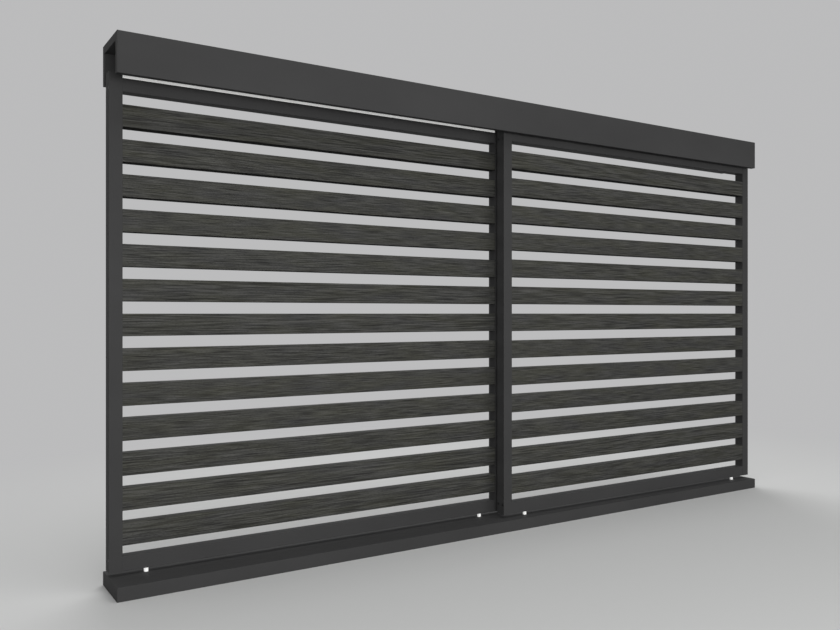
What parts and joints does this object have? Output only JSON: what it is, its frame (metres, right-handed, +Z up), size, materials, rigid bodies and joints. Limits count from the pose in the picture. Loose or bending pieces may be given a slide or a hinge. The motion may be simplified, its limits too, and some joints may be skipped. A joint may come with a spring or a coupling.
{
  "type": "sliding slatted shutter",
  "caption": "Framed panels of fixed horizontal slats hang on wheels in an open-ended box header and slide past each other above a plain base rail.",
  "frame": {"origin": "middle of the base rail's underside", "axes": "+X along the width to the viewer's right, +Y from the front to the back, +Z up"},
  "size_m": [2.79, 0.178, 1.568],
  "materials": {
    "powder_coat": "anthracite powder coat, fine matt texture",
    "stained_wood": "dark grey stained timber with open grain",
    "white_nylon": "white nylon",
    "black_plastic": "black moulded plastic",
    "track_aluminium": "plain extruded aluminium",
    "zinc_steel": "zinc plated steel",
    "wheel_steel": "turned steel",
    "black_rubber": "black rubber"
  },
  "bodies": {
    "housing": {"header_channel": "powder_coat", "header_end_caps": "powder_coat", "base_rail": "powder_coat", "base_end_caps": "powder_coat", "rear_track": "track_aluminium", "front_track": "track_aluminium", "track_screws": "zinc_steel", "track_stops": "black_rubber"},
    "rear_panel": {"rear_stile_left": "powder_coat", "rear_stile_right": "powder_coat", "rear_stile_plugs": "black_plastic", "rear_top_rail": "powder_coat", "rear_bottom_rail": "powder_coat", "rear_slat_01": "stained_wood", "rear_slat_02": "stained_wood", "rear_slat_03": "stained_wood", "rear_slat_04": "stained_wood", "rear_slat_05": "stained_wood", "rear_slat_06": "stained_wood", "rear_slat_07": "stained_wood", "rear_slat_08": "stained_wood", "rear_slat_09": "stained_wood", "rear_slat_10": "stained_wood", "rear_slat_11": "stained_wood", "rear_slat_12": "stained_wood", "rear_slat_13": "stained_wood", "rear_top_strip": "white_nylon", "rear_feet": "white_nylon", "rear_lock_nuts": "zinc_steel", "rear_corner_screws": "zinc_steel", "rear_hanger_left": "zinc_steel", "rear_hanger_right": "zinc_steel"},
    "rear_wheels_left": {"rear_wheelset_left": "wheel_steel"},
    "rear_wheels_right": {"rear_wheelset_right": "wheel_steel"},
    "front_panel": {"front_stile_left": "powder_coat", "front_stile_right": "powder_coat", "front_stile_plugs": "black_plastic", "front_top_rail": "powder_coat", "front_bottom_rail": "powder_coat", "front_slat_01": "stained_wood", "front_slat_02": "stained_wood", "front_slat_03": "stained_wood", "front_slat_04": "stained_wood", "front_slat_05": "stained_wood", "front_slat_06": "stained_wood", "front_slat_07": "stained_wood", "front_slat_08": "stained_wood", "front_slat_09": "stained_wood", "front_slat_10": "stained_wood", "front_slat_11": "stained_wood", "front_slat_12": "stained_wood", "front_slat_13": "stained_wood", "front_top_strip": "white_nylon", "front_feet": "white_nylon", "front_lock_nuts": "zinc_steel", "front_corner_screws": "zinc_steel", "front_hanger_left": "zinc_steel", "front_hanger_right": "zinc_steel"},
    "front_wheels_left": {"front_wheelset_left": "wheel_steel"},
    "front_wheels_right": {"front_wheelset_right": "wheel_steel"}
  },
  "joints": [
    {"name": "rear_panel_slide", "type": "slide", "parent": "housing", "child": "rear_panel", "axis": [1, 0, 0], "range_m": [0, 1.371]},
    {"name": "rear_wheel_spin_left", "type": "hinge", "parent": "rear_panel", "child": "rear_wheels_left", "pos_m": [-1.29, 0.032, 1.5245], "axis": [0, 1, 0], "continuous": true},
    {"name": "rear_wheel_spin_right", "type": "hinge", "parent": "rear_panel", "child": "rear_wheels_right", "pos_m": [-0.081, 0.032, 1.5245], "axis": [0, 1, 0], "continuous": true},
    {"name": "front_panel_slide", "type": "slide", "parent": "housing", "child": "front_panel", "axis": [-1, 0, 0], "range_m": [0, 1.371]},
    {"name": "front_wheel_spin_left", "type": "hinge", "parent": "front_panel", "child": "front_wheels_left", "pos_m": [0.081, -0.032, 1.5245], "axis": [0, -1, 0], "continuous": true},
    {"name": "front_wheel_spin_right", "type": "hinge", "parent": "front_panel", "child": "front_wheels_right", "pos_m": [1.29, -0.032, 1.5245], "axis": [0, -1, 0], "continuous": true}
  ],
  "couplings": [
    {"joint": "rear_wheel_spin_left", "follows": "rear_panel_slide", "rad_per_m": 76.923},
    {"joint": "rear_wheel_spin_right", "follows": "rear_panel_slide", "rad_per_m": 76.923},
    {"joint": "front_wheel_spin_left", "follows": "front_panel_slide", "rad_per_m": 76.923},
    {"joint": "front_wheel_spin_right", "follows": "front_panel_slide", "rad_per_m": 76.923}
  ]
}
